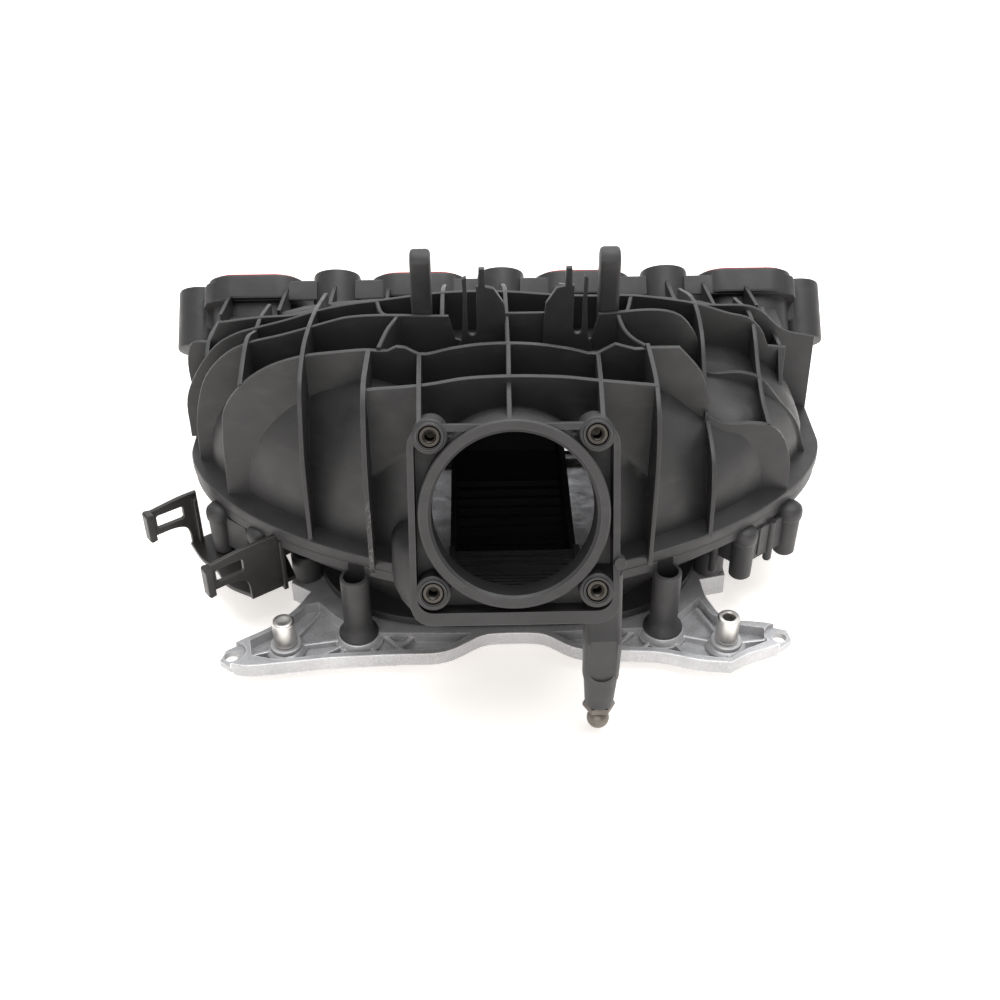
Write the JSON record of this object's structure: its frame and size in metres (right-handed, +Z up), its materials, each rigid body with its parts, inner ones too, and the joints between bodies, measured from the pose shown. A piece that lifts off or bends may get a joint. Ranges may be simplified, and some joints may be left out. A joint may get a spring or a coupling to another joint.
{
  "type": "engine intake manifold",
  "caption": "Ribbed plastic intake manifold with a round throttle flange, runners to a tilted head flange and a cast carrier plate underneath.",
  "frame": {"origin": "in the underside of the carrier plate, on the middle line of the port row, about half way between the throttle flange and the head flange", "axes": "+X along the row of ports, to the right seen from the throttle flange; +Y from the throttle flange to the head flange; +Z up, from the carrier plate to the ribbed roof"},
  "size_m": [0.368, 0.2888, 0.171],
  "materials": {
    "black_plastic": "moulded, fine matt grain",
    "duct_plastic": "moulded, smooth",
    "bracket_plastic": "moulded, satin",
    "cast_aluminium": "die-cast, rough",
    "red_seal": "moulded rubber",
    "green_seal": "moulded rubber",
    "zinc_steel": "zinc plated",
    "brass": "turned",
    "dark_steel": "dark passivated"
  },
  "bodies": {
    "root": {"upper_shell": "black_plastic", "lower_shell": "black_plastic", "runner_shell": "black_plastic", "inlet_guide": "duct_plastic", "carrier_plate": "cast_aluminium", "plate_seal": "green_seal", "locating_pin": "zinc_steel", "locating_sleeve": "zinc_steel", "ball_stud": "dark_steel", "stud_hex_collar": "dark_steel", "harness_bracket": "bracket_plastic", "port_seal_1": "red_seal", "throttle_insert_1": "brass", "port_seal_2": "red_seal", "throttle_insert_2": "brass", "port_seal_3": "red_seal", "throttle_insert_3": "brass", "port_seal_4": "red_seal", "throttle_insert_4": "brass", "flange_sleeve_1": "zinc_steel", "flange_sleeve_2": "zinc_steel", "flange_sleeve_3": "zinc_steel", "flange_sleeve_4": "zinc_steel", "flange_sleeve_5": "zinc_steel", "plate_screw_1": "zinc_steel", "plate_screw_2": "zinc_steel", "plate_screw_3": "zinc_steel", "plate_screw_4": "zinc_steel", "plate_screw_5": "zinc_steel", "plate_screw_6": "zinc_steel"}
  },
  "joints": []
}
